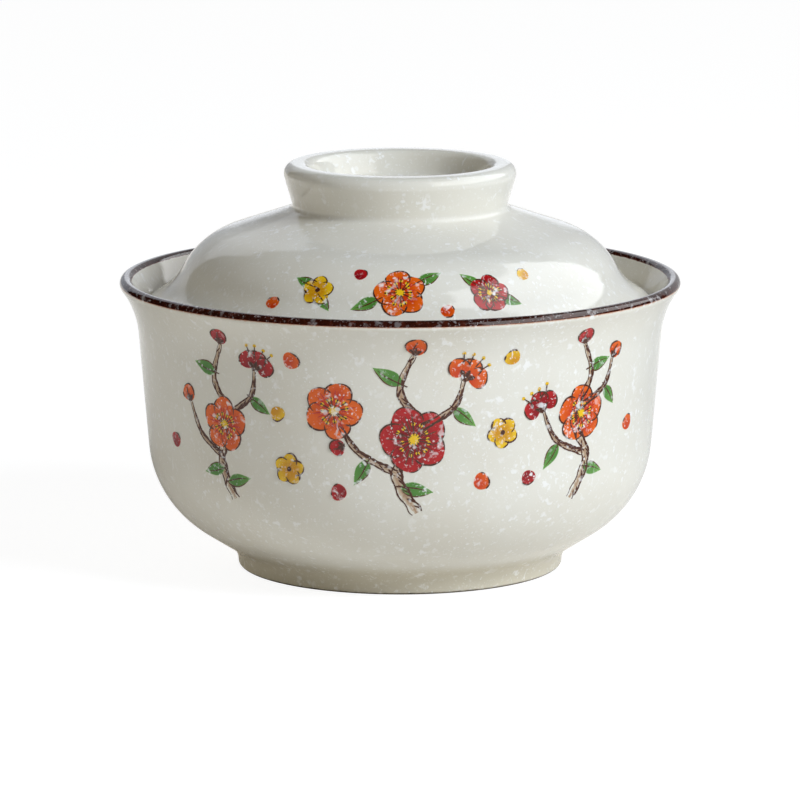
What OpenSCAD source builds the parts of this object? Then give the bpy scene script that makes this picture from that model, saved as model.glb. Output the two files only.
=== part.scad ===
// Donburi bowl with a drop-in lid: thrown stoneware with an iron-brown glazed lip.
// The lid's hollow ring knob is shaped like an upturned foot.
// Both pots are turned about Z, and the bowl's foot ring stands on z = 0.

/* [Bowl] */
// Outside diameter over the flared lip
mouth_d = 165; // [140:0.5:185]
// Height of the bowl to the top of the lip
bowl_h = 86; // [76:0.2:110]
// How far the lip reaches out past its turn from the wall
lip_reach = 4.8; // [3.4:0.1:9]
// Height of the lip's top above that turn
lip_h = 9.2; // [8:0.1:14]
// Radius of that turn on the outside
flare_r = 27; // [12:1:32]
// How far the wall leans out between belly and lip
wall_lean = 4.9; // [1:0.1:12]
// Height of the belly's turn from flank to wall
belly_h = 20.4; // [17:0.2:28]
// Radius of that turn on the outside
belly_r = 32; // [15:1:36]
// Wall thickness
wall = 5.2; // [4:0.1:6]
// Thickness of the lip
lip_t = 3.7; // [3:0.1:4.6]

/* [Foot] */
// Outside diameter of the foot ring
foot_d = 95.8; // [84:0.2:104]
// Height of the foot ring at its outside
foot_h = 4.6; // [3.6:0.1:6.6]
// Width of the foot ring
foot_w = 6.5; // [5:0.1:9]
// Depth of the hollow inside the foot ring
foot_recess = 3.4; // [2:0.1:4.6]
// Thickness of the floor over that hollow
floor_t = 5.6; // [4.6:0.1:8]
// Radius between floor and flank on the inside
floor_r = 38; // [10:1:44]
// Radius between foot ring and flank
foot_blend = 6.5; // [1:0.5:8]
// Radius in the corner of the foot's hollow
foot_hollow_r = 2; // [0.5:0.1:2.4]
// Rounding of the foot ring's two edges
foot_edge = 1.2; // [0.3:0.1:1.6]

/* [Lip band] */
// Thickness of the iron glaze over the lip
band_t = 0.35; // [0.2:0.05:0.6]
// Angle above level at which the glaze starts on the outside of the lip's round
band_from = 4; // [0:1:30]
// How far the glaze runs down the inside below the round of the lip
band_run = 1.3; // [0.6:0.1:2]

/* [Lid] */
// Wall thickness of the lid
lid_wall = 4.4; // [3.6:0.1:5.2]
// How far the lid's edge reaches past the turn inside the bowl's throat
lid_reach = 1.7; // [0.8:0.1:2.6]
// Gap between the lid's edge and its seat
seat_gap = 0.3; // [0.2:0.05:0.5]
// How far the lid's edge reaches out past its turn from the flank
skirt_reach = 8; // [6:0.1:11]
// Height of that turn above the middle of the edge
skirt_h = 6.6; // [5:0.1:9]
// Radius of that turn on the outside
skirt_r = 20; // [5:1:24]
// How far the lid's flank leans out below its shoulder
flank_lean = 6.6; // [4:0.1:12]
// Height of the shoulder above the middle of the edge
shoulder_h = 18.8; // [15:0.2:22]
// Radius of the shoulder on the outside
shoulder_r = 25; // [8:1:28]
// Height of the knob's root above the middle of the edge
crown_h = 28.4; // [26:0.2:34]

/* [Knob] */
// Greatest diameter of the knob, at its lip
knob_d = 68.3; // [56:0.1:80]
// How far the knob's side leans out above its root
knob_lean = 2.75; // [0.5:0.05:6]
// Height of the knob above its root
knob_h = 13.1; // [11:0.1:18]
// Width of the knob's lip
knob_lip = 7; // [6:0.1:9]
// Height of the floor of the knob's hollow above the root
hollow_h = 5.1; // [3:0.1:6.5]
// Radius in the corner of that hollow
hollow_r = 3; // [0.5:0.1:3.5]
// Thickness of the lid under that hollow
crown_t = 5.4; // [4.6:0.1:7]
// Radius under the lid between its flat crown and its slope
crown_r = 45; // [10:1:60]
// Rounding of the knob's lip on the outside
knob_round = 3.2; // [1.5:0.1:3.4]
// Rounding of the knob's lip on the inside
knob_inner_round = 2.8; // [1.5:0.1:3]
// Radius at the knob's root
root_r = 1.6; // [0.4:0.1:3]

/* [Hidden] */
$fn = 96;

// Greatest distance between an arc and its chords
arc_sag = 0.02;
// Share of a straight side that the arcs at its ends may use up
arc_share = 0.98;
// Points per side when the seat is searched
seat_samples = 24;

snow_glaze = [0.90, 0.89, 0.84];
iron_glaze = [0.24, 0.10, 0.06];

// Lines and circles in the r, z plane; side is 1 for left of the way and -1 for right
function unit(v) = v / norm(v);
function left(v) = [-v.y, v.x];
function turned(u, v) = u.x * v.y - u.y * v.x;
function meet(p, u, q, v) = p + u * (turned(q - p, v) / turned(u, v));
function beside(a, b, d) = a + left(unit(b - a)) * d;
function touch(p, centre, radius, side) =
    let (reach = norm(centre - p))
    let (lean = side * asin(radius / reach))
    let (way = atan2(centre.y - p.y, centre.x - p.x) + lean)
    p + [cos(way), sin(way)] * reach * cos(lean);
function arc(centre, start, sweep) =
    let (spoke = start - centre)
    let (radius = norm(spoke))
    let (from = atan2(spoke.y, spoke.x))
    let (steps = max(3, ceil(abs(sweep) / (2 * acos(1 - arc_sag / radius)))))
    [for (i = [0:steps]) centre + radius * [cos(from + sweep * i / steps), sin(from + sweep * i / steps)]];

// A path of corners [r, z, radius], each turned into an arc; the two ends stay sharp
function at(p) = [p.x, p.y];
function with_r(p, radius) = [p.x, p.y, radius];
function turn(path, i) =
    let (u = at(path[i]) - at(path[i - 1]))
    let (v = at(path[i + 1]) - at(path[i]))
    atan2(turned(u, v), u * v);
function wanted(path, i) =
    i <= 0 || i >= len(path) - 1 ? 0 : path[i].z * tan(abs(turn(path, i)) / 2);
function allowed(path, i) =
    let (room = arc_share * norm(at(path[i + 1]) - at(path[i])))
    min(1, room / max(room, wanted(path, i) + wanted(path, i + 1)));
function corner(path, i) =
    let (u = unit(at(path[i]) - at(path[i - 1])))
    let (cut = wanted(path, i) * min(allowed(path, i - 1), allowed(path, i)))
    let (radius = cut / tan(abs(turn(path, i)) / 2))
    let (start = at(path[i]) - u * cut)
    arc(start + left(u) * radius * sign(turn(path, i)), start, turn(path, i));
function rounded(path) =
    [for (i = [0:len(path) - 1]) each wanted(path, i) == 0 ? [at(path[i])] : corner(path, i)];
function backwards(path) = [for (i = [len(path) - 1:-1:0]) path[i]];
function after_first(path) = [for (i = [1:len(path) - 1]) path[i]];
function sampled(path) = [
    for (i = [0:len(path) - 2], k = [0:seat_samples - 1])
        path[i] + (path[i + 1] - path[i]) * k / seat_samples
];

// Bowl: corners of the outside
foot_ring_r = foot_d / 2;
foot_bore_r = foot_ring_r - foot_w;
flank_low = [foot_ring_r, foot_h];
throat = [mouth_d / 2 - lip_reach, bowl_h - lip_h];
belly = [throat.x - wall_lean, belly_h];
flank_way = unit(belly - flank_low);
wall_way = unit(throat - belly);

// Bowl: the lip ends in a full round that its two faces run into
nose_r = lip_t / 2;
nose = [mouth_d / 2 - nose_r, bowl_h - nose_r];
lip_touch = touch(throat, nose, nose_r, -1);
lip_way = unit(lip_touch - throat);
lip_out = unit(lip_touch - nose);
lip_rise = band_from - atan2(lip_out.y, lip_out.x);
lip_bare = arc(nose, lip_touch, lip_rise);

// Bowl: corners of the inside, a wall away from the outside
floor_z = foot_recess + floor_t;
flank_in = beside(flank_low, belly, wall);
wall_in = beside(belly, throat, wall);
floor_in = meet([0, floor_z], [1, 0], flank_in, flank_way);
belly_in = meet(flank_in, flank_way, wall_in, wall_way);
throat_in = meet(wall_in, wall_way, nose - lip_out * nose_r, lip_way);

// The lip's section at a depth under its glaze, from the outside to the inside
function lip_section(depth) =
    let (reach = nose_r - depth)
    let (start = nose + reach * [cos(band_from), sin(band_from)])
    let (end = nose - reach * lip_out - lip_way * band_run)
    concat(arc(nose, start, 180 - lip_rise), [end]);
lip_face = lip_section(0);
lip_clay = lip_section(band_t);

bowl_outside = rounded([
    [0, foot_recess, 0],
    [foot_bore_r, foot_recess, foot_hollow_r],
    [foot_bore_r, 0, foot_edge],
    [foot_ring_r, 0, foot_edge],
    with_r(flank_low, foot_blend),
    with_r(belly, belly_r),
    with_r(throat, flare_r),
    with_r(lip_touch, 0)
]);
bowl_inside = rounded([
    with_r(lip_face[len(lip_face) - 1], 0),
    with_r(throat_in, flare_r + wall),
    with_r(belly_in, belly_r - wall),
    with_r(floor_in, floor_r),
    [0, floor_z, 0]
]);

// Seat: the lid's round edge comes down until its gap to the inside of the lip is left
edge_r = lid_wall / 2;
edge_reach = edge_r + seat_gap;
edge_x = throat_in.x + lid_reach - edge_r;
edge_z = max([
    for (p = sampled(bowl_inside))
        if (abs(p.x - edge_x) < edge_reach)
            p.y + sqrt(pow(edge_reach, 2) - pow(p.x - edge_x, 2))
]);
edge = [edge_x, edge_z];

// Lid: corners of the outside
skirt = [edge_x + edge_r - skirt_reach, edge_z + skirt_h];
shoulder = [skirt.x - flank_lean, edge_z + shoulder_h];
root = [knob_d / 2 - knob_lean, edge_z + crown_h];
edge_touch = touch(skirt, edge, edge_r, 1);
edge_out = edge_touch - edge;
slope_way = unit(shoulder - root);
side_way = unit(skirt - shoulder);
edge_way = unit(edge_touch - skirt);

// Lid: the knob's outer face runs into the round of its lip
knob_z = root.y + knob_h;
knob_turn = [knob_d / 2 - knob_round, knob_z - knob_round];
knob_way = unit(touch(root, knob_turn, knob_round, -1) - root);
knob_top = [0, knob_z];
hollow_floor = [0, root.y + hollow_h];
level = [1, 0];
knob_out = meet(root, knob_way, knob_top, level);
knob_in = [knob_d / 2 - knob_lip, knob_z];
hollow_low = meet(knob_in, knob_way, hollow_floor, level);

// Lid: corners of the underside, a wall away from the outside
crown_under = hollow_floor - [0, crown_t];
slope_in = beside(root, shoulder, -lid_wall);
side_in = beside(shoulder, skirt, -lid_wall);
crown_in = meet(crown_under, level, slope_in, slope_way);
shoulder_in = meet(slope_in, slope_way, side_in, side_way);
skirt_in = meet(side_in, side_way, edge - edge_out, edge_way);

lid_outside = rounded([
    with_r(hollow_floor, 0),
    with_r(hollow_low, hollow_r),
    with_r(knob_in, knob_inner_round),
    with_r(knob_out, knob_round),
    with_r(root, root_r),
    with_r(shoulder, shoulder_r),
    with_r(skirt, skirt_r),
    with_r(edge_touch, 0)
]);
lid_underside = rounded([
    with_r(edge - edge_out, 0),
    with_r(skirt_in, skirt_r + lid_wall),
    with_r(shoulder_in, shoulder_r - lid_wall),
    with_r(crown_in, crown_r),
    with_r(crown_under, 0)
]);

// Fired bowl with its foot ring; the lip is cut back for the glaze
module bowl_body() {
    color(snow_glaze)
        rotate_extrude()
            polygon(concat(bowl_outside, after_first(lip_bare), lip_clay, bowl_inside));
}

// Iron glaze that wraps the lip
module bowl_rim_band() {
    color(iron_glaze)
        rotate_extrude()
            polygon(concat(lip_face, backwards(lip_clay)));
}

// Fired lid with its hollow ring knob and round edge
module lid_body() {
    color(snow_glaze)
        rotate_extrude()
            polygon(concat(lid_outside, arc(edge, edge_touch, -180), lid_underside));
}

bowl_body();
bowl_rim_band();
lid_body();
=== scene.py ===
"""Looks of a lidded donburi bowl: turned shells in snow glaze, an iron-brown lip and painted blossoms."""

import math
import random

import bpy
import numpy as np
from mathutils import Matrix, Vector


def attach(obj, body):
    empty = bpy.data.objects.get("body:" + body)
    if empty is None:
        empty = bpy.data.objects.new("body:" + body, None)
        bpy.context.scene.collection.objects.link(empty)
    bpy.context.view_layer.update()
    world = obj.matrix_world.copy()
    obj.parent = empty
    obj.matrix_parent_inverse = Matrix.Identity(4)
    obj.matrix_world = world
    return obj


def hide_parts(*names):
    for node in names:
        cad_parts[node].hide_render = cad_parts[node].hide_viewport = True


MM = 0.001
FULL_TURN = 2 * math.pi

# Camera, from the photograph's framing
CAMERA_DISTANCE = 1.750
CAMERA_RISE = math.radians(10)
CAMERA_PIVOT_Z = 0.060
CAMERA_AIM_Z = 0.0486
CAMERA_LENS = 266.85
CAMERA_SENSOR = 36.0

# Floor as it lights the object, as the camera sees it and as the glaze mirrors it; lengths in metres
FLOOR_COLOUR = (0.96, 0.93, 0.88, 1)
FLOOR_SEEN = (0.22, 0.22, 0.22, 1)
FLOOR_WHITE = 0.90
FLOOR_IN_GLAZE = (0.40, 0.40, 0.40, 1)
FLOOR_MIRRORED = 0.5
FLOOR_ROUGHNESS = 0.9
FLOOR_REACH = 6.0
BEHIND = (0.15, 0.45)
TO_THE_RIGHT = (0.12, 0.24)

# Key panel: turn to the camera's right and rise in degrees, then distance and size in metres
KEY_TURN = 54
KEY_RISE = 32
KEY_DISTANCE = 1.6
KEY_SIZE = 0.6
KEY_RADIANCE = 21.6
KEY_COLOUR = (0.84, 0.91, 1.0)

# Cards: turn to the camera's right and half width in degrees, lowest and highest slope, radiance
CARD_SOFTNESS = 2
SLOPE_SOFTNESS = 0.02
# Those that light the object
SOFT_CARDS = (
    (-55, 18, -0.1, 0.20, (3.2, 3.1, 2.8, 1)),
    (-165, 42, 0.05, 0.55, (2.0, 2.0, 1.95, 1)),
    (-90, 90, 0.60, 1.10, (0.15, 0.15, 0.15, 1)),
    (90, 90, 0.60, 1.10, (0.28, 0.28, 0.28, 1)),
)
# Those that show in its glaze
SEEN_CARDS = (
    (-167, 19, -0.1, 0.62, (0.46, 0.49, 0.54, 1)),
    (-167, 19, 0.30, 0.62, (0.26, 0.27, 0.29, 1)),
    (180, 6, -0.1, 0.62, (0.70, 0.72, 0.75, 1)),
    (157, 17, -0.1, 0.62, (0.5, 0.51, 0.53, 1)),
    (87, 51, 0.24, 0.85, (2.9, 2.95, 3.0, 1)),
)

# Turned meshes
POINTS_AROUND = 240
RING_STEP = 0.9 * MM
RING_TURN = math.radians(9)
SHARP_TURN = math.radians(35)
SAME_RING = 0.03 * MM
RING_DIGITS = 5
ON_AXIS = 0.001 * MM

# Painted films: how far they stand over the glaze, how deep they reach into it, and their point spacing
FILM_LIFT = 0.015 * MM
FILM_LAYER = 0.012 * MM
FILM_STEP = 0.0005 * MM
FILM_DEPTH = 0.04 * MM
STROKE_STEP = 0.7
FILL_STEP = 1.1
SLOPE_STEP = 0.2 * MM

# How much ink is left at the edge of a stroke and of a filled shape
STROKE_EDGE = 0.5
FILL_EDGE = 0.34
FILL_CORE_LEAST = 0.3
TONE_SWING = 0.15

# The hand: how fast a stroke swells and thins, how it shakes, and how it draws round a shape
STROKE_SWELL = 4
STROKE_THIN = 2.5
HAND_SHAKE = 0.16
SHAKE_PITCH = 1.7
DAB_SWING = 0.07
DAB_POINTS = 10
EDGE_LIFT = (0.3, 0.7)
EDGE_WIDTHS = (0.8, 1.2)

# Shares of a stroke's width at its start and at its end
STROKE_TAPER = (0.5, 0.3)
EDGE_TAPER = (0.35, 0.25)
SIDE_TAPER = (0.3, 0.2)
PULLED_TAPER = (0.9, 0.1)
SEPAL_TAPER = (1.0, 0.15)
STAMEN_TAPER = (0.8, 0.6)
BARK_TAPER = (1.0, 0.2)

# Widths of drawn lines, in millimetres
HAIR_LINE = 0.32
VEIN_LINE = 0.34
FINE_LINE = 0.36
HALF_OPEN_LINE = 0.4
PETAL_LINE = 0.42
TWIG_UPPER_LINE = 0.45
TWIG_LOWER_LINE = 0.75

# Twigs: how their sides swing, their wash, and the marks on their bark
TWIG_SWING = 0.15
TWIG_PITCH = 0.8
TWIG_WASH = 0.7
BARK_LEAST_HALF = 0.5
BARK_FIRST = 2
BARK_LAST = 5
BARK_EVERY = 2
BARK_CHANCE = 0.8
BARK_FROM_BELOW = 0.7
BARK_REACH = 3
BARK_ACROSS = (-0.5, 0.4)
BARK_LINES = (0.35, 0.75)

# Blossoms: turns and leans in degrees, sizes and reaches as shares of the blossom's own size
PETALS = 5
PETAL_TURN = 360 / PETALS
PETAL_POINTS = 12
PETAL_SWING = 0.05
PETAL_LEAN = 5
PETAL_SIZES = (0.42, 0.47)
PETAL_FADES = (0.7, 1.0)
VEIN_TURNS = (-17, 1, 15)
VEIN_LEAN = 4
VEIN_REACHES = (0.58, 0.8)
STAMENS = 12
STAMEN_LEAN = 9
STAMEN_REACHES = (0.34, 0.52)
SEPAL_TURNS = (-48, 0, 48)
HALF_OPEN_TURNS = (-52, 52, 0)
THREAD_TURNS = (-30, -10, 12, 32)
THREAD_REACHES = (1.4, 1.65)

# Leaves: how their width runs from foot to tip
LEAF_POINTS = 6
LEAF_BULGE = 0.8
LEAF_FULL = 1.12
LEAF_NARROWS = 0.25

# How far the iron colour ends above the inner edge of the lip's band
IRON_STOPS_SHORT = 0.8 * MM

# Glaze. A ramp is where it starts and where it is full, then what it gives there unless that is 0 and 1
NOISE_DETAIL = 2.0
NOISE_MEAN = (0.5, 0.5, 0.5)
CLOUD_SIZE = 26 * MM
CLOUD_RAMP = (0.35, 0.75)
CLOUD_SHARE = 0.5
DRIFT_SIZE = 11 * MM
DRIFT_RAMP = (0.36, 0.60, 0.4, 1.0)
UNEVEN_SIZE = 1.6 * MM
UNEVEN_PUSH = 1.4 * MM
UNEVEN_DETAIL = 1.0
SNOW_DETAIL = 3.0
SPOT_POWER = 2.0
SPOT_CORE = 0.5
SPOT_FAINT_RAMP = (0.0, 0.8, 0.25, 1.0)
PINHOLE_CELL = 15 * MM
PINHOLE_MOST = 0.3 * MM
GLAZE_IOR = 1.5
DULL_SIZE = 9 * MM
DULL_SWING = 0.04
DULL_LEAST = 0.02
DULL_FLECKS = 0.06
SWELL_SIZE = 14 * MM
SWELL_STRENGTH = 0.3
SWELL_HEIGHT = 0.4 * MM
RELIEF_STRENGTH = 0.5
RELIEF_HEIGHT = 0.06 * MM

# Glaze at the lip's band and at the foot, by distance or height; at the foot, painted shade and a dark clay
# edge that paints the contact shadow
RAGGED_SIZE = 1.2 * MM
RAGGED_DEPTH = 0.45 * MM
STAIN_RAMP = (0.7 * MM, 0.15 * MM)
IRON_EDGE_RAMP = (0.5 * MM, 0.2 * MM)
IRON_END_RAMP = (0.3 * MM, 0.1 * MM)
MOTTLE_SIZE = 2.0 * MM
MOTTLE_DETAIL = 4.0
MOTTLE_RAMP = (0.45, 0.8)
MOTTLE_SHARE = 0.4
# Heights over which painted shade darkens and warms the cream towards the foot
FOOT_SHADE_RAMP = (11 * MM, 6 * MM)
# Height of the bare clay edge, which also paints the contact shadow under the foot
CLAY_AND_SHADOW_RAMP = (0.9 * MM, 0.6 * MM)
CLAY_RAGGED_SIZE = 2 * MM
CLAY_RAGGED_DEPTH = 0.4 * MM
CLAY_ROUGHNESS = 0.7

# Paint: its grain, the pools in it, and the ink that shows as thin and as full paint
GRAIN_SIZE = 0.8 * MM
GRAIN_DETAIL = 3.0
GRAIN_SWING = 0.9
GRAIN_LEAST = 0.55
POOL_SIZE = 3.5 * MM
POOL_SHARE = 0.6
POOL_RAMP = (0.2, 1.0)
THIN_RAMP = (0.05, 0.3)
FULL_RAMP = (0.3, 0.75)

# How white the flecks are over the paints, the cream and the iron
PAINT_FLECKS = 0.85
SNOW_FLECKS = 0.65
IRON_FLECKS = 0.35

# Heights at the middle of the two pictures
BOWL_PICTURE_Z = 55 * MM
LID_PICTURE_Z = 91 * MM


def linear(red, green, blue):
    """An sRGB colour in 0 to 255 as the linear RGBA that shaders take."""
    parts = [c / 255 for c in (red, green, blue)]
    return (*[c / 12.92 if c <= 0.04045 else ((c + 0.055) / 1.055) ** 2.4 for c in parts], 1.0)


# Colours of the glaze and of the paints; a paint has its thin edge, its body and its deepest tone
CREAM = linear(229, 225, 213)
CREAM_WARM = linear(222, 215, 199)
FLECK = linear(251, 250, 248)
PINHOLE = linear(70, 58, 48)
# Painted shade: the cream darkened and warmed near the foot
CREAM_FOOT_SHADE = linear(212, 204, 184)
# Bare clay at the foot's lowest edge, dark enough to be a painted contact shadow as well
CLAY_AND_CONTACT_SHADOW = linear(100, 90, 74)
IRON = linear(50, 18, 10)
IRON_THIN = linear(112, 50, 32)
IRON_HALO = linear(196, 148, 116)
BROWN = (linear(132, 90, 64), linear(74, 38, 26), linear(48, 22, 15))
PAINTS = {
    "wash": (linear(206, 190, 166), linear(172, 138, 108), linear(136, 98, 72)),
    "stem": BROWN,
    "green": (linear(172, 198, 140), linear(108, 160, 76), linear(78, 132, 54)),
    "orange": (linear(238, 138, 60), linear(230, 100, 20), linear(200, 60, 12)),
    "red": (linear(206, 72, 62), linear(182, 28, 30), linear(140, 12, 22)),
    "yellow": (linear(226, 184, 60), linear(238, 194, 30), linear(208, 144, 16)),
    "line": BROWN,
}


# Turned shells

def traced(node):
    """A turned node's section as (r, z) points in order, its clay on the left, and whether it is a loop."""
    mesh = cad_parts[node].data
    corners = np.array([v.co for v in mesh.vertices])
    flat = np.column_stack([np.hypot(corners[:, 0], corners[:, 1]), corners[:, 2]])
    rings, which = np.unique(np.round(flat, RING_DIGITS), axis=0, return_inverse=True)
    apart = np.linalg.norm(rings[:, None] - rings[None], axis=2)
    ring_of = (apart < SAME_RING).argmax(axis=1)[which.ravel()]
    links = {}
    for edge in mesh.edges:
        a, b = (int(ring_of[i]) for i in edge.vertices)
        if a != b:
            links.setdefault(a, set()).add(b)
            links.setdefault(b, set()).add(a)
    ends = [i for i in links if len(links[i]) == 1]
    order = [min(ends or links, key=lambda i: rings[i][1])]
    left = set(links) - set(order)
    while onward := links[order[-1]] & left:
        order.append(max(onward, key=lambda i: rings[i][0]))
        left.discard(order[-1])
    outline = np.array([flat[ring_of == i].mean(axis=0) for i in order])
    if ends:
        outline = np.vstack([[0, outline[0][1]], outline, [0, outline[-1][1]]])
    return outline, not ends


def smoothed(outline, loop):
    """The outline with more points, on cubic arcs that keep its corners sharp and its sides straight."""
    starts = outline if loop else outline[:-1]
    chords = (np.roll(outline, -1, axis=0) if loop else outline[1:]) - starts
    lengths = np.linalg.norm(chords, axis=1)
    ways = chords / lengths[:, None]
    count = len(starts)

    def turn_after(i):
        j = (i + 1) % count
        if j == 0 and not loop:
            return 0.0
        return math.acos(np.clip(ways[i] @ ways[j], -1, 1))

    def way_between(i, j, own):
        if (not loop and j == 0) or turn_after(i) > SHARP_TURN:
            return ways[own]
        both = ways[i] * lengths[i] + ways[j] * lengths[j]
        return both / np.linalg.norm(both)

    points = []
    for i in range(count):
        before, after = (i - 1) % count, (i + 1) % count
        leave = way_between(before, i, i) * lengths[i]
        arrive = way_between(i, after, i) * lengths[i]
        bend = math.acos(np.clip(leave @ arrive / lengths[i] ** 2, -1, 1))
        steps = max(math.ceil(lengths[i] / RING_STEP), math.ceil(bend / RING_TURN))
        for t in np.arange(steps) / steps:
            points.append(
                starts[i]
                + chords[i] * t * t * (3 - 2 * t)
                + leave * t * (1 - t) ** 2
                - arrive * t * t * (1 - t)
            )
    if not loop:
        points.append(outline[-1])
    return np.array(points)


def lathe(name, outline, loop):
    """A closed mesh turned from an outline, with its UV seam at the back."""
    closed = np.vstack([outline, outline[:1]]) if loop else outline
    steps = np.linalg.norm(np.diff(closed, axis=0), axis=1)
    along = np.concatenate([[0], np.cumsum(steps)]) / steps.sum()
    angles = math.pi / 2 + np.arange(POINTS_AROUND) * FULL_TURN / POINTS_AROUND
    verts, rings = [], []
    for r, z in outline:
        around = angles if r > ON_AXIS else angles[:1]
        rings.append(len(verts) + np.arange(POINTS_AROUND + 1) % len(around))
        verts += [(r * math.cos(a), r * math.sin(a), z) for a in around]
    faces, corners = [], []
    for i in range(len(closed) - 1):
        foot_shade, high = rings[i], rings[(i + 1) % len(rings)]
        for j in range(POINTS_AROUND):
            ids = [foot_shade[j], foot_shade[j + 1], high[j + 1], high[j]]
            uvs = [(j, i), (j + 1, i), (j + 1, i + 1), (j, i + 1)]
            kept = [k for k in range(4) if ids[k] != ids[k - 1]]
            faces.append([ids[k] for k in kept])
            corners += [(uvs[k][0] / POINTS_AROUND, along[uvs[k][1]]) for k in kept]
    return finished_mesh(name, verts, faces, corners)


def finished_mesh(name, verts, faces, corners):
    """A smooth-shaded object with a UV map of its own."""
    mesh = bpy.data.meshes.new(name)
    mesh.from_pydata(verts, [], faces)
    mesh.uv_layers.new(name="OFBake").data.foreach_set("uv", np.array(corners, np.float32).ravel())
    mesh.shade_smooth()
    mesh.set_sharp_from_angle(angle=SHARP_TURN)
    mesh.validate()
    piece = bpy.data.objects.new(name, mesh)
    bpy.context.scene.collection.objects.link(piece)
    return piece


def turned_piece(name, node, body, material):
    """The dressed shell that stands for a turned node; gives back its outline."""
    outline, loop = traced(node)
    outline = smoothed(outline, loop)
    piece = lathe(name, outline, loop)
    piece.data.materials.append(material)
    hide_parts(node)
    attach(piece, body)
    return outline


# Shader helpers

def link(tree, value, socket):
    """Sets a socket to a constant, or links it to another node's output."""
    if isinstance(value, bpy.types.NodeSocket):
        tree.links.new(value, socket)
    else:
        socket.default_value = value


def add_node(tree, kind, inputs=None, **settings):
    """A new node with its settings and inputs; gives back the node."""
    node = tree.nodes.new(kind)
    for key, value in settings.items():
        setattr(node, key, value)
    for key, value in (inputs or {}).items():
        link(tree, value, node.inputs[key])
    return node


def calc(tree, operation, *values):
    """One Math node; gives back its output."""
    node = add_node(tree, "ShaderNodeMath", dict(enumerate(values)), operation=operation)
    return node.outputs[0]


def square_sum(tree, a, b):
    """The sum of the squares of a and b."""
    return calc(tree, "ADD", calc(tree, "MULTIPLY", a, a), calc(tree, "MULTIPLY", b, b))


def vector_calc(tree, operation, inputs):
    """One Vector Math node; gives back its vector."""
    return add_node(tree, "ShaderNodeVectorMath", inputs, operation=operation).outputs[0]


def mixed(tree, factor, a, b, blend="MIX"):
    """Colour a turning into colour b as the factor goes from 0 to 1."""
    node = add_node(tree, "ShaderNodeMix", {0: factor, 6: a, 7: b}, data_type="RGBA", blend_type=blend)
    return node.outputs[2]


def ramp(tree, value, foot_shade, high, to_low=0.0, to_high=1.0):
    """A smooth step of value from low to high."""
    inputs = {"Value": value, "From Min": foot_shade, "From Max": high, "To Min": to_low, "To Max": to_high}
    node = add_node(tree, "ShaderNodeMapRange", inputs, interpolation_type="SMOOTHSTEP")
    return node.outputs[0]


def noise(tree, place, size, detail=NOISE_DETAIL):
    """Noise from 0 to 1 whose blotches are about size across."""
    node = add_node(tree, "ShaderNodeTexNoise", {"Vector": place, "Scale": 1 / size, "Detail": detail})
    return node.outputs[0]


def roughened(tree, place, size, amount):
    """The place, pushed about by noise so that round shapes turn out uneven."""
    inputs = {"Vector": place, "Scale": 1 / size, "Detail": UNEVEN_DETAIL}
    grain = add_node(tree, "ShaderNodeTexNoise", inputs).outputs["Color"]
    centred = vector_calc(tree, "SUBTRACT", {0: grain, 1: NOISE_MEAN})
    push = vector_calc(tree, "SCALE", {0: centred, "Scale": amount})
    return vector_calc(tree, "ADD", {0: place, 1: push})


def spots(tree, place, cell, least, most, stretch=(1, 1, 1), tilt=(0, 0, 0)):
    """A mask of round or drawn-out spots, one in each cell, some faint, with radii from least to most."""
    scale = [s / cell for s in stretch]
    mapped = add_node(tree, "ShaderNodeMapping", {"Vector": place, "Rotation": tilt, "Scale": scale})
    cells = add_node(tree, "ShaderNodeTexVoronoi", {"Vector": mapped.outputs[0], "Scale": 1.0})
    chance, faint, _ = add_node(tree, "ShaderNodeSeparateColor", {0: cells.outputs["Color"]}).outputs
    spread = calc(tree, "MULTIPLY", calc(tree, "POWER", chance, SPOT_POWER), (most - least) / cell)
    radius = calc(tree, "ADD", spread, least / cell)
    core = calc(tree, "MULTIPLY", radius, SPOT_CORE)
    shown = ramp(tree, cells.outputs["Distance"], radius, core)
    return calc(tree, "MULTIPLY", shown, ramp(tree, faint, *SPOT_FAINT_RAMP))


# Materials

# Flecks: cell, radii, stretch and tilt of fine spots, larger spots and needles that lie two ways
FLECK_KINDS = (
    (1.2 * MM, 0.12 * MM, 0.45 * MM, (1, 1, 1), (0, 0, 0)),
    (2.6 * MM, 0.2 * MM, 0.9 * MM, (1, 1, 1), (0.4, 0.2, 0.7)),
    (10 * MM, 0.2 * MM, 1.8 * MM, (1.0, 5.0, 0.4), (0.5, 0.9, 0.3)),
    (13 * MM, 0.2 * MM, 2.0 * MM, (5.0, 1.0, 0.4), (-0.8, 0.4, -0.5)),
)
# Snow between the flecks: blotch size, where a blotch starts and is full, and how white it gets
SNOW_KINDS = (
    (1.0 * MM, 0.60, 0.72, 0.7),
    (2.6 * MM, 0.58, 0.70, 0.9),
)


def snow_mask(tree, place):
    """Where the glaze breaks into white: spots, needles and uneven blotches that gather in drifts."""
    uneven = roughened(tree, place, UNEVEN_SIZE, UNEVEN_PUSH)
    parts = [spots(tree, uneven, *kind) for kind in FLECK_KINDS]
    for size, start, full, white in SNOW_KINDS:
        parts.append(ramp(tree, noise(tree, uneven, size, SNOW_DETAIL), start, full, 0.0, white))
    whole = parts[0]
    for part in parts[1:]:
        whole = calc(tree, "MAXIMUM", whole, part)
    drift = ramp(tree, noise(tree, place, DRIFT_SIZE), *DRIFT_RAMP)
    return calc(tree, "MULTIPLY", whole, drift)


def cream(tree, place):
    """The glaze's own colour, with soft warm clouds."""
    clouds = ramp(tree, noise(tree, place, CLOUD_SIZE), *CLOUD_RAMP)
    return mixed(tree, calc(tree, "MULTIPLY", clouds, CLOUD_SHARE), CREAM, CREAM_WARM)


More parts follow.
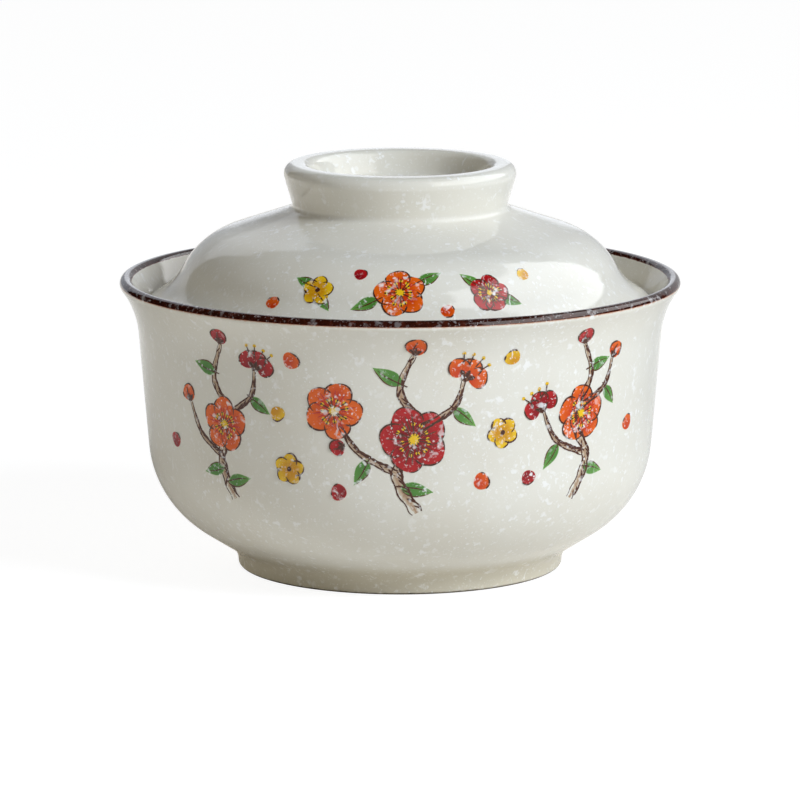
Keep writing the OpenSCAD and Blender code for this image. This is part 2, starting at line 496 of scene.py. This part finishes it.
def edge_distance(tree, place, edge):
    """How far a point lies from one edge of the lip's band, in the section's plane, a little ragged."""
    edge_r, edge_z = edge
    x, y, z = add_node(tree, "ShaderNodeSeparateXYZ", {0: place}).outputs
    across = calc(tree, "SQRT", square_sum(tree, x, y))
    dr = calc(tree, "SUBTRACT", across, edge_r)
    dz = calc(tree, "SUBTRACT", z, edge_z)
    square = square_sum(tree, dr, dz)
    ragged = calc(tree, "MULTIPLY", noise(tree, place, RAGGED_SIZE), RAGGED_DEPTH)
    return calc(tree, "ADD", calc(tree, "SQRT", square), ragged)


def bowl_glaze(tree, place):
    """Cream, stained red-brown under the iron band, and darker and warmer towards the foot as painted
    shade.
    """
    stain = ramp(tree, edge_distance(tree, place, band_outer_edge), *STAIN_RAMP)
    height = add_node(tree, "ShaderNodeSeparateXYZ", {0: place}).outputs[2]
    # Painted shade near the foot
    foot_shade = ramp(tree, height, *FOOT_SHADE_RAMP)
    return mixed(tree, stain, mixed(tree, foot_shade, cream(tree, place), CREAM_FOOT_SHADE), IRON_HALO)


def iron_glaze(tree, place):
    """Iron brown, thin and red at its edges, mottled, and ended short of the band's inner edge."""
    inside = calc(tree, "SUBTRACT", edge_distance(tree, place, band_inner_edge), IRON_STOPS_SHORT)
    reach = calc(tree, "MINIMUM", edge_distance(tree, place, band_outer_edge), inside)
    edge = ramp(tree, reach, *IRON_EDGE_RAMP)
    blotches = ramp(tree, noise(tree, place, MOTTLE_SIZE, MOTTLE_DETAIL), *MOTTLE_RAMP)
    mottle = calc(tree, "MULTIPLY", blotches, MOTTLE_SHARE)
    iron_colour = mixed(tree, calc(tree, "MAXIMUM", edge, mottle), IRON, IRON_THIN)
    return mixed(tree, ramp(tree, inside, *IRON_END_RAMP), iron_colour, cream(tree, place))


def pigment(paint):
    """A paint that fades into the cream where its film's ink is thin."""
    thin, body, deep = PAINTS[paint]

    def under(tree, place):
        ink = add_node(tree, "ShaderNodeAttribute", attribute_name="ink").outputs["Fac"]
        tone = add_node(tree, "ShaderNodeAttribute", attribute_name="tone").outputs["Fac"]
        grain = calc(tree, "MULTIPLY", noise(tree, place, GRAIN_SIZE, GRAIN_DETAIL), GRAIN_SWING)
        load = calc(tree, "MULTIPLY", ink, calc(tree, "ADD", grain, GRAIN_LEAST))
        pools = calc(tree, "MULTIPLY", noise(tree, place, POOL_SIZE), POOL_SHARE)
        pooled = calc(tree, "ADD", tone, pools)
        full = mixed(tree, ramp(tree, pooled, *POOL_RAMP), body, deep)
        colour = mixed(tree, ramp(tree, load, *FULL_RAMP), thin, full)
        return mixed(tree, ramp(tree, load, *THIN_RAMP), cream(tree, place), colour)

    return under


def glaze_material(name, under, fleck_share, clay_foot_and_shadow=False):
    """A glossy glaze over the under colour, with raised white flecks, a few needles and pinholes."""
    material = bpy.data.materials.new(name)
    material.use_nodes = True
    tree = material.node_tree
    shader = next(n for n in tree.nodes if n.type == "BSDF_PRINCIPLED")
    place = add_node(tree, "ShaderNodeTexCoord").outputs["Object"]

    flecks = snow_mask(tree, place)
    holes = spots(tree, place, PINHOLE_CELL, 0.0, PINHOLE_MOST)

    colour = mixed(tree, calc(tree, "MULTIPLY", flecks, fleck_share), under(tree, place), FLECK)
    colour = mixed(tree, holes, colour, PINHOLE)
    dull = calc(tree, "MULTIPLY", noise(tree, place, DULL_SIZE), DULL_SWING)
    dull = calc(tree, "ADD", dull, DULL_LEAST)
    dull = calc(tree, "ADD", dull, calc(tree, "MULTIPLY", flecks, DULL_FLECKS))
    waves = noise(tree, place, SWELL_SIZE)
    swell = add_node(
        tree, "ShaderNodeBump", {"Height": waves, "Strength": SWELL_STRENGTH, "Distance": SWELL_HEIGHT}
    )
    relief = calc(tree, "SUBTRACT", flecks, holes)
    raised = add_node(
        tree,
        "ShaderNodeBump",
        {
            "Height": relief,
            "Strength": RELIEF_STRENGTH,
            "Distance": RELIEF_HEIGHT,
            "Normal": swell.outputs[0],
        },
    )
    # Bare clay along the foot's lowest edge, darkened into a painted contact shadow line
    if clay_foot_and_shadow:
        height = add_node(tree, "ShaderNodeSeparateXYZ", {0: place}).outputs[2]
        ragged = calc(tree, "MULTIPLY", noise(tree, place, CLAY_RAGGED_SIZE), CLAY_RAGGED_DEPTH)
        bare_clay_and_shadow = ramp(tree, calc(tree, "ADD", height, ragged), *CLAY_AND_SHADOW_RAMP)
        colour = mixed(tree, bare_clay_and_shadow, colour, CLAY_AND_CONTACT_SHADOW)
        dull = calc(tree, "ADD", dull, calc(tree, "MULTIPLY", bare_clay_and_shadow, CLAY_ROUGHNESS))
    link(tree, colour, shader.inputs["Base Color"])
    link(tree, dull, shader.inputs["Roughness"])
    link(tree, raised.outputs[0], shader.inputs["Normal"])
    shader.inputs["IOR"].default_value = GLAZE_IOR
    return material


# Painting

class Wall:
    """A turned outside that takes paint: u runs round it and v up it, in mm from its picture's middle."""

    def __init__(self, outline, middle_z):
        rising = outline[outline[:, 1].argmin() : outline[:, 1].argmax() + 1]
        steps = np.linalg.norm(np.diff(rising, axis=0), axis=1)
        self.r, self.z = rising.T
        self.run = np.concatenate([[0], np.cumsum(steps)])
        self.run -= np.interp(middle_z, self.z, self.run)
        self.radius = np.interp(0, self.run, self.r)

    def place(self, flat, lift):
        """Points that stand lift over the wall at (u, v), and the wall's normals there."""
        u, v = flat.T * MM
        rise = np.interp(v + SLOPE_STEP, self.run, self.z) - np.interp(v - SLOPE_STEP, self.run, self.z)
        widen = np.interp(v + SLOPE_STEP, self.run, self.r) - np.interp(v - SLOPE_STEP, self.run, self.r)
        slope = np.hypot(rise, widen)
        out, up = rise / slope, -widen / slope
        r = np.interp(v, self.run, self.r) + lift * out
        z = np.interp(v, self.run, self.z) + lift * up
        sine, cosine = np.sin(u / self.radius), np.cos(u / self.radius)
        points = np.column_stack([r * sine, -r * cosine, z])
        normals = np.column_stack([out * sine, -out * cosine, up])
        return points, normals


class Film:
    """The films of one paint on one wall, each a thin closed solid."""

    def __init__(self, wall, layer):
        self.wall = wall
        self.lift = FILM_LIFT + layer * FILM_LAYER
        self.verts = []
        self.normals = []
        self.flat = []
        self.ink = []
        self.tone = []
        self.faces = []

    def lay(self, flat, ink, tone, tops, rim):
        """One film: faces over the points, the same underneath, and walls along the rim."""
        start, count = len(self.verts), len(flat)
        for lift in (self.lift, -FILM_DEPTH):
            points, normals = self.wall.place(flat, lift)
            self.verts += points.tolist()
            self.normals += normals.tolist()
            self.flat += flat.tolist()
            self.ink += list(ink)
            self.tone += list(tone)
        self.lift += FILM_STEP
        self.faces += [[start + i for i in face] for face in tops]
        self.faces += [[start + count + i for i in reversed(face)] for face in tops]
        for a, b in zip(rim, rim[1:] + rim[:1]):
            self.faces.append([start + i for i in (b, a, a + count, b + count)])

    def piece(self, name, body, material):
        """All the films as one piece that rides on a body."""
        flat = np.array(self.flat)
        foot_shade, high = flat.min(axis=0), flat.max(axis=0)
        share = (flat - foot_shade) / (high - foot_shade)
        corners = [share[i] for face in self.faces for i in face]
        made = finished_mesh(name, self.verts, self.faces, corners)
        for key in ("ink", "tone"):
            made.data.attributes.new(key, "FLOAT", "POINT").data.foreach_set("value", getattr(self, key))
        made.data.normals_split_custom_set_from_vertices(self.normals)
        made.data.materials.append(material)
        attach(made, body)
        return made


def through(points, step=STROKE_STEP):
    """Points every step along a smooth curve through the given ones."""
    knots = np.array([points[0], *points, points[-1]], float)
    line = []
    for a, b, c, d in zip(knots, knots[1:], knots[2:], knots[3:]):
        count = max(2, math.ceil(np.linalg.norm(c - b) / step))
        for t in np.arange(count) / count:
            bend = 2 * a - 5 * b + 4 * c - d + t * (3 * (b - c) + d - a)
            line.append(b + 0.5 * t * (c - a + t * bend))
    return np.array(line + [knots[-1]])


def sides(line):
    """The unit vectors that point to the left along a line."""
    ways = np.gradient(line, axis=0)
    ways /= np.linalg.norm(ways, axis=1)[:, None]
    return np.column_stack([-ways[:, 1], ways[:, 0]])


def ray(angle, length):
    """A step of some length in the direction of an angle in degrees."""
    return length * np.array([math.cos(math.radians(angle)), math.sin(math.radians(angle))])


class Picture:
    """A painted picture on one wall, with a brush for strokes and fills in each paint."""

    def __init__(self, wall, seed):
        self.films = {paint: Film(wall, layer) for layer, paint in enumerate(PAINTS)}
        self.chance = random.Random(seed)

    def stroke(self, paint, points, width, taper=STROKE_TAPER, load=1.0):
        """A brush stroke through the points, whose width starts and ends at the taper's shares."""
        line = through(points)
        share = np.linspace(0, 1, len(line))
        thinning = np.minimum(1, taper[1] + STROKE_THIN * (1 - share))
        press = np.minimum(taper[0] + STROKE_SWELL * share, thinning)
        shake = np.sin(SHAKE_PITCH * np.arange(len(line)) + self.chance.uniform(0, FULL_TURN))
        press *= 1 + HAND_SHAKE * shake
        half = sides(line) * (np.broadcast_to(width, len(line)) * press / 2)[:, None]
        flat = np.stack([line + half, line, line - half], axis=1).reshape(-1, 2)
        last = 3 * (len(line) - 1)
        tops = [[i + c, i + c + 1, i + c + 4, i + c + 3] for i in range(0, last, 3) for c in (0, 1)]
        rim = [0, 1, *range(2, last + 3, 3), last + 1, *range(last, 0, -3)]
        ink = load * np.tile([STROKE_EDGE, 1.0, STROKE_EDGE], len(line))
        self.films[paint].lay(flat, ink, np.zeros(len(flat)), tops, rim)

    def edge(self, outline, width, share=0.6):
        """A drawn line along the outer share of an outline, with the brush lifted once on the way."""
        reach = round(share * len(outline) / 2)
        line = [outline[i % len(outline)] for i in range(-reach, reach + 1)]
        lift = round(len(line) * self.chance.uniform(*EDGE_LIFT))
        for part in (line[: lift + 1], line[lift + 2 :]):
            if len(part) > 2:
                self.stroke("line", part[::2], width * self.chance.uniform(*EDGE_WIDTHS), EDGE_TAPER)

    def fill(self, paint, outline, soft=0.3, load=1.0, root=None, fade=1.0):
        """A filled shape with a thin edge; its tone deepens within fade of the root."""
        outline = np.array(outline)
        middle = outline.mean(axis=0)
        reach = np.linalg.norm(outline - middle, axis=1).mean()
        inner = max(FILL_CORE_LEAST, 1 - soft / reach)
        count = max(1, math.ceil(reach * inner / FILL_STEP))
        levels = [*(inner * (k + 1) / count for k in range(count)), 1.0]
        flat = np.vstack([[middle], *[middle + (outline - middle) * level for level in levels]])
        size = len(outline)
        tops = [[0, 1 + j, 1 + (j + 1) % size] for j in range(size)]
        for k in range(len(levels) - 1):
            foot_shade, high = 1 + k * size, 1 + (k + 1) * size
            for j in range(size):
                after = (j + 1) % size
                tops.append([foot_shade + j, high + j, high + after, foot_shade + after])
        ink = np.where(np.arange(len(flat)) < len(flat) - size, load, load * FILL_EDGE)
        depth = np.full(len(flat), self.chance.uniform(-TONE_SWING, TONE_SWING))
        if root is not None:
            depth += np.clip(1 - np.linalg.norm(flat - root, axis=1) / fade, 0, 1)
        self.films[paint].lay(flat, ink, depth, tops, list(range(len(flat) - size, len(flat))))

    def disc(self, paint, middle, radius, **options):
        """A small round dab, never quite a circle."""
        points = max(DAB_POINTS, math.ceil(FULL_TURN * radius / STROKE_STEP))
        phase = self.chance.uniform(0, 360)
        outline = []
        for k in range(points):
            angle = 360 * k / points
            swing = 1 + DAB_SWING * math.cos(math.radians(2 * angle + phase))
            outline.append(np.array(middle) + ray(angle, radius * swing))
        self.fill(paint, outline, **options)

    def pieces(self, name, body):
        """One piece for each paint that the picture uses."""
        for paint, film in self.films.items():
            if film.verts:
                made = film.piece(f"{name}_{paint}", body, paint_materials[paint])


# Motifs

def twig(picture, points, thick, thin):
    """A woody stem: a pale wash between two drawn edges, with bark marks that lean forward."""
    line = through(points)
    left = sides(line)
    chance = picture.chance
    half = np.linspace(thick, thin, len(line)) / 2
    half *= 1 + TWIG_SWING * np.sin(np.arange(len(line)) * TWIG_PITCH + chance.uniform(0, FULL_TURN))
    upper = line + left * half[:, None]
    lower = line - left * half[:, None]
    picture.stroke("wash", line[::2], 2.0 * half.mean(), load=TWIG_WASH)
    picture.stroke("stem", upper[::2], TWIG_UPPER_LINE)
    picture.stroke("stem", lower[::2], TWIG_LOWER_LINE)
    for i in range(BARK_FIRST, len(line) - BARK_LAST, BARK_EVERY):
        if half[i] > BARK_LEAST_HALF and chance.random() < BARK_CHANCE:
            start = lower[i] if chance.random() < BARK_FROM_BELOW else upper[i]
            across = left[i] * half[i] * chance.uniform(*BARK_ACROSS)
            reach = line[min(i + BARK_REACH, len(line) - 1)] + across
            width = chance.uniform(*BARK_LINES)
            picture.stroke("stem", [start, (start + reach) / 2, reach], width, BARK_TAPER)


def petal(middle, radius, angle, wobble):
    """The outline of a round petal, a little wider across than along."""
    count = max(PETAL_POINTS, math.ceil(FULL_TURN * radius / STROKE_STEP))
    outline = []
    for k in range(count):
        turn = 360 * k / count
        wide = PETAL_SWING * math.cos(math.radians(2 * turn + 180))
        uneven = PETAL_SWING * math.cos(math.radians(3 * turn + wobble))
        outline.append(middle + ray(angle + turn, radius * (1 + wide + uneven)))
    return outline


def stamens(picture, middle, radius, spin):
    """Drawn threads round the middle of a blossom, each with a yellow tip."""
    chance = picture.chance
    for k in range(STAMENS):
        lean = spin + 360 * k / STAMENS + chance.uniform(-STAMEN_LEAN, STAMEN_LEAN)
        tip = middle + ray(lean, radius * chance.uniform(*STAMEN_REACHES))
        picture.stroke("line", [middle + ray(lean, 0.12 * radius), tip], HAIR_LINE, STAMEN_TAPER)
        picture.disc("yellow", tip, 0.6, soft=0.2)
        picture.disc("line", tip + ray(lean, 0.3), 0.3, soft=0.1)


def blossom(picture, middle, radius, spin, paint):
    """A five-petalled blossom seen from the front."""
    middle = np.array(middle, float)
    chance = picture.chance
    vein = "red" if paint == "orange" else "line"
    for k in range(PETALS):
        angle = spin + PETAL_TURN * k + chance.uniform(-PETAL_LEAN, PETAL_LEAN)
        size = radius * chance.uniform(*PETAL_SIZES)
        outline = petal(middle + ray(angle, radius - size), size, angle, chance.uniform(0, 360))
        picture.fill(paint, outline, root=middle, fade=chance.uniform(*PETAL_FADES) * radius)
        picture.edge(outline, PETAL_LINE)
        for side in VEIN_TURNS:
            lean = angle + side + chance.uniform(-VEIN_LEAN, VEIN_LEAN)
            root = middle + ray(lean, 0.3 * radius)
            tip = middle + ray(lean, radius * chance.uniform(*VEIN_REACHES))
            picture.stroke(vein, [root, tip], VEIN_LINE, PULLED_TAPER, 0.8)
    picture.disc("yellow", middle, 0.17 * radius)
    stamens(picture, middle, radius, spin)


def calyx(picture, foot, angle, size):
    """Brown sepals that hold a bud or a half-open blossom."""
    for side in SEPAL_TURNS:
        tip = foot + ray(angle + side, size)
        bend = (foot + tip) / 2 + ray(angle, 0.1 * size)
        picture.stroke("line", [foot, bend, tip], 0.42 * size, SEPAL_TAPER)


def bud(picture, foot, angle, size, paint):
    """A closed bud on its sepals."""
    foot = np.array(foot, float)
    middle = foot + ray(angle, 0.95 * size)
    outline = petal(middle, size, angle, 90)
    picture.fill(paint, outline, root=foot, fade=1.6 * size)
    picture.edge(outline, FINE_LINE, 0.7)
    fold = [middle + ray(angle + 150, 0.7 * size), middle + ray(angle, 0.6 * size)]
    picture.stroke("line", fold, HAIR_LINE)
    calyx(picture, foot, angle, 0.85 * size)


def half_open(picture, foot, angle, size, paint):
    """A half-open blossom seen from the side."""
    foot = np.array(foot, float)
    for side in HALF_OPEN_TURNS:
        lean = angle + side
        outline = petal(foot + ray(lean, 0.75 * size), 0.55 * size, lean, picture.chance.uniform(0, 360))
        picture.fill(paint, outline, root=foot, fade=1.2 * size)
        picture.edge(outline, HALF_OPEN_LINE)
    for side in THREAD_TURNS:
        tip = foot + ray(angle + side, size * picture.chance.uniform(*THREAD_REACHES))
        picture.stroke("line", [foot + ray(angle + side, 0.9 * size), tip], HAIR_LINE)
        picture.disc("yellow", tip, 0.55, soft=0.2)
    calyx(picture, foot, angle, 0.6 * size)


def leaf(picture, foot, angle, length, width):
    """A young leaf in one soft dab, with a thin drawn midrib and one drawn side."""
    foot = np.array(foot, float)
    across = ray(angle + 90, width / 2)
    count = max(LEAF_POINTS, math.ceil(length / STROKE_STEP))
    edge = []
    for k in range(count + 1):
        t = k / count
        swell = math.sin(math.pi * t ** LEAF_BULGE) * (LEAF_FULL - LEAF_NARROWS * t)
        edge.append((foot + ray(angle, length * t), across * swell))
    outline = [p - a for p, a in edge] + [p + a for p, a in edge[-2:0:-1]]
    picture.fill("green", outline, soft=0.5, root=foot, fade=length)
    middle = foot + ray(angle, length / 2) + across * 0.2
    midrib = [foot - ray(angle, 1.2), middle, foot + ray(angle, 0.85 * length)]
    picture.stroke("line", midrib, FINE_LINE, PULLED_TAPER)
    drawn = outline[: len(edge)] if picture.chance.random() < 0.5 else outline[len(edge) - 1 :]
    picture.stroke("line", drawn[1:-1:2], HAIR_LINE, SIDE_TAPER, 0.8)


def small_flower(picture, middle, radius, spin):
    """A little yellow flower with a brown eye."""
    middle = np.array(middle, float)
    for k in range(PETALS):
        angle = spin + PETAL_TURN * k
        outline = petal(middle + ray(angle, 0.56 * radius), 0.46 * radius, angle, 0)
        picture.fill("yellow", outline, root=middle, fade=0.9 * radius)
        picture.edge(outline, FINE_LINE)
    picture.disc("line", middle, 0.16 * radius, soft=0.3)


def loose_petal(picture, middle, angle, size, paint):
    """A fallen petal, drawn along one side."""
    outline = petal(np.array(middle, float), size, angle, 150)
    picture.fill(paint, outline, root=np.array(middle) - ray(angle, size), fade=2 * size)
    picture.edge(outline, FINE_LINE, 0.4)


def paint_bowl(wall):
    """Three upright sprays of blossom on the bowl's front, with petals falling between them."""
    picture = Picture(wall, seed=7)
    for points, thick, thin in (
        ([(-53, -25), (-57, -13), (-52, -2), (-58, 10), (-54, 21)], 3.0, 1.1),
        ([(-56, -13), (-65, -7), (-69, 2)], 1.6, 0.8),
        ([(-54, 0), (-45, 6), (-43, 14)], 1.6, 0.8),
        ([(5, -26), (-1, -14), (6, -2), (0, 10), (4, 21)], 3.4, 1.2),
        ([(-1, -14), (-12, -8), (-18, 1)], 1.8, 0.9),
        ([(5, -1), (15, 5), (18, 13)], 1.8, 0.9),
        ([(55, -25), (60, -13), (54, -1), (60, 11), (56, 21)], 3.0, 1.1),
        ([(59, -12), (48, -7), (43, 2)], 1.6, 0.8),
        ([(56, 2), (66, 7), (69, 15)], 1.6, 0.8),
    ):
        twig(picture, points, thick, thin)
    for foot, angle, length, width in (
        ((-56, -16), -165, 9, 3.8), ((-57, 12), 165, 9, 4), ((-55, -20), 12, 9, 3.8),
        ((-45, 6), -35, 8, 3.6), ((0, -18), -10, 10, 4.2), ((-9, -10), -120, 9, 4),
        ((1, 12), 150, 10, 4.2), ((15, 5), -40, 9, 3.8), ((59, -16), -15, 9, 3.8),
        ((49, -8), -125, 9, 3.8), ((59, 13), 15, 9, 3.8), ((66, 7), -50, 8, 3.6),
    ):
        leaf(picture, foot, angle, length, width)
    for middle, radius, spin, paint in (
        ((-55, -3), 8.2, 12, "orange"), ((4, -4), 10, 40, "red"), ((-19, 4), 8.6, 66, "orange"),
        ((57, 0), 8.6, 20, "orange"),
    ):
        blossom(picture, middle, radius, spin, paint)
    for foot, angle, size, paint in (
        ((-43, 14), 70, 5.0, "red"), ((18, 13), 60, 5.4, "orange"), ((43, 2), 115, 5.0, "red"),
    ):
        half_open(picture, foot, angle, size, paint)
    for foot, angle, size, paint in (
        ((-69, 2), 110, 2.6, "orange"), ((-54, 21), 85, 2.6, "red"), ((4, 21), 80, 2.8, "orange"),
        ((56, 21), 100, 2.6, "red"), ((69, 15), 65, 2.6, "orange"), ((-16, -6), 200, 2.3, "red"),
    ):
        bud(picture, foot, angle, size, paint)
    small_flower(picture, (-33, -14), 4.6, 10)
    small_flower(picture, (30, -3), 4.6, 50)
    for middle, angle, size, paint in (
        ((-31, 18), 40, 2.5, "orange"), ((-36, 2), -60, 2.2, "yellow"), ((-18, -20), 160, 2.4, "red"),
        ((32, 19), 130, 2.3, "yellow"), ((24, -17), 20, 2.5, "orange"), ((39, -17), -70, 2.2, "red"),
        ((-79, -11), 80, 2.3, "red"), ((80, -6), 120, 2.4, "orange"),
    ):
        loose_petal(picture, middle, angle, size, paint)
    picture.pieces("bowl_paint", "bowl")


def paint_lid(wall):
    """Loose blossoms in their leaves across the lid's front."""
    picture = Picture(wall, seed=11)
    for foot, angle, length, width in (
        ((-6, -2), 205, 8.5, 3.8), ((5, 3), 25, 8.5, 3.8), ((-25, 1), 160, 7.5, 3.4),
        ((-24, -1), -50, 7, 3.2), ((28, -2), -25, 8, 3.4), ((24, 1), 140, 7.5, 3.4),
    ):
        leaf(picture, foot, angle, length, width)
    blossom(picture, (0, 0), 7.6, 30, "orange")
    blossom(picture, (26, -1), 6.0, 8, "red")
    small_flower(picture, (-24, 0), 4.6, 15)
    for middle, angle, size, paint in (
        ((-12, 6), 70, 2.0, "red"), ((13, -6), -30, 2.0, "orange"), ((-37, -5), 100, 2.0, "orange"),
        ((39, 4), 140, 2.0, "yellow"),
    ):
        loose_petal(picture, middle, angle, size, paint)
    picture.pieces("lid_paint", "lid")


# Stage, light and camera

def clear_ray(tree):
    """Whether a ray comes straight from the camera or through a see-through surface."""
    path = add_node(tree, "ShaderNodeLightPath").outputs
    return calc(tree, "MAXIMUM", path["Is Camera Ray"], path["Is Transmission Ray"])


def glossy_ray(tree):
    """Whether a ray is mirrored in a glossy surface."""
    return add_node(tree, "ShaderNodeLightPath").outputs["Is Glossy Ray"]


def floor_material():
    """Pale floor, white to the camera; mirrored in the glaze it is paler behind and darker on the right."""
    material = bpy.data.materials.new("floor")
    material.use_nodes = True
    tree = material.node_tree
    shader = next(n for n in tree.nodes if n.type == "BSDF_PRINCIPLED")
    shader.inputs["Roughness"].default_value = FLOOR_ROUGHNESS
    shader.inputs["Specular IOR Level"].default_value = 0.0
    shader.inputs["Emission Color"].default_value = (1, 1, 1, 1)
    seen = clear_ray(tree)
    place = add_node(tree, "ShaderNodeNewGeometry").outputs["Position"]
    x, y, _ = add_node(tree, "ShaderNodeSeparateXYZ", {0: place}).outputs
    right = calc(tree, "MULTIPLY", glossy_ray(tree), ramp(tree, x, *TO_THE_RIGHT))
    unseen = mixed(tree, right, FLOOR_COLOUR, FLOOR_IN_GLAZE)
    link(tree, mixed(tree, seen, unseen, FLOOR_SEEN), shader.inputs["Base Color"])
    behind = ramp(tree, y, *BEHIND)
    mirrored = calc(tree, "MULTIPLY", calc(tree, "MULTIPLY", glossy_ray(tree), behind), FLOOR_MIRRORED)
    glow = calc(tree, "ADD", calc(tree, "MULTIPLY", seen, FLOOR_WHITE), mirrored)
    link(tree, glow, shader.inputs["Emission Strength"])
    return material


def add_floor():
    """A wide plain floor under the foot."""
    mesh = bpy.data.meshes.new("floor")
    corners = [(x * FLOOR_REACH, y * FLOOR_REACH, 0) for x, y in ((-1, -1), (1, -1), (1, 1), (-1, 1))]
    mesh.from_pydata(corners, [], [range(4)])
    floor = bpy.data.objects.new("floor", mesh)
    bpy.context.scene.collection.objects.link(floor)
    mesh.materials.append(floor_material())


def card_light(tree, cards):
    """The light of some cards by the direction that a ray leaves in."""
    way = add_node(tree, "ShaderNodeTexCoord").outputs["Generated"]
    x, y, z = add_node(tree, "ShaderNodeSeparateXYZ", {0: way}).outputs
    level = add_node(tree, "ShaderNodeCombineXYZ", {0: x, 1: y}).outputs[0]
    level = vector_calc(tree, "NORMALIZE", {0: level})
    total = (0, 0, 0, 1)
    for turn, half, foot_shade, high, radiance in cards:
        middle = (math.sin(math.radians(turn)), -math.cos(math.radians(turn)), 0)
        product = add_node(tree, "ShaderNodeVectorMath", {0: level, 1: middle}, operation="DOT_PRODUCT")
        off, on = (math.cos(math.radians(half + side * CARD_SOFTNESS)) for side in (1, -1))
        inside = ramp(tree, product.outputs["Value"], off, on)
        for edge, side in ((foot_shade, 1), (high, -1)):
            step = ramp(tree, z, edge - side * SLOPE_SOFTNESS, edge + side * SLOPE_SOFTNESS)
            inside = calc(tree, "MULTIPLY", inside, step)
        total = mixed(tree, inside, total, radiance, "ADD")
    return total


def add_world():
    """White for the camera, and cards round the object that light it or show in its glaze."""
    world = bpy.data.worlds.new("studio")
    bpy.context.scene.world = world
    world.use_nodes = True
    tree = world.node_tree
    back = next(n for n in tree.nodes if n.type == "BACKGROUND")
    studio = mixed(tree, glossy_ray(tree), card_light(tree, SOFT_CARDS), card_light(tree, SEEN_CARDS))
    link(tree, mixed(tree, clear_ray(tree), studio, (1, 1, 1, 1)), back.inputs["Color"])


def add_key():
    """One soft panel on the right that faces the object."""
    light = bpy.data.lights.new("key", "AREA")
    light.size = KEY_SIZE
    light.energy = math.pi * KEY_RADIANCE * KEY_SIZE ** 2
    light.color = KEY_COLOUR
    turn, rise = math.radians(KEY_TURN), math.radians(KEY_RISE)
    way = Vector((math.sin(turn) * math.cos(rise), -math.cos(turn) * math.cos(rise), math.sin(rise)))
    lamp = bpy.data.objects.new("key", light)
    lamp.location = Vector((0, 0, CAMERA_PIVOT_Z)) + KEY_DISTANCE * way
    lamp.rotation_euler = (-way).to_track_quat("-Z", "Y").to_euler()
    lamp.visible_glossy = False
    bpy.context.scene.collection.objects.link(lamp)


def add_camera():
    """The photograph's view, from the front and a little above."""
    data = bpy.data.cameras.new("camera")
    data.lens = CAMERA_LENS
    data.sensor_width = CAMERA_SENSOR
    camera = bpy.data.objects.new("camera", data)
    out, up = math.cos(CAMERA_RISE) * CAMERA_DISTANCE, math.sin(CAMERA_RISE) * CAMERA_DISTANCE
    camera.location = (0, -out, CAMERA_PIVOT_Z + up)
    aim = Vector((0, 0, CAMERA_AIM_Z)) - camera.location
    camera.rotation_euler = aim.to_track_quat("-Z", "Y").to_euler()
    bpy.context.scene.collection.objects.link(camera)
    bpy.context.scene.camera = camera


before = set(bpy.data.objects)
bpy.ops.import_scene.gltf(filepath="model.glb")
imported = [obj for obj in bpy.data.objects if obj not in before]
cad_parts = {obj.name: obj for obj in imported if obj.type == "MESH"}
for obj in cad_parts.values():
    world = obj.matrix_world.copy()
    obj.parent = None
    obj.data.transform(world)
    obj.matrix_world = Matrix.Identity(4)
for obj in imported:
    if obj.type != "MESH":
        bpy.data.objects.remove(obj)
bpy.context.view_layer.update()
bpy.context.scene.view_settings.view_transform = "Standard"

band, _ = traced("bowl_rim_band")
band_outer_edge, band_inner_edge = band[band[:, 0].argmax()], band[band[:, 0].argmin()]
paint_materials = {
    paint: glaze_material(f"paint_{paint}", pigment(paint), PAINT_FLECKS) for paint in PAINTS
}
snow = glaze_material("snow_glaze", cream, SNOW_FLECKS)
snow_bowl = glaze_material("snow_glaze_bowl", bowl_glaze, SNOW_FLECKS, clay_foot_and_shadow=True)
iron = glaze_material("iron_glaze", iron_glaze, IRON_FLECKS)

bowl_outline = turned_piece("bowl_shell", "bowl_body", "bowl", snow_bowl)
turned_piece("lip_band", "bowl_rim_band", "bowl", iron)
lid_outline = turned_piece("lid_shell", "lid_body", "lid", snow)
paint_bowl(Wall(bowl_outline, BOWL_PICTURE_Z))
paint_lid(Wall(lid_outline, LID_PICTURE_Z))

add_floor()
add_world()
add_key()
add_camera()
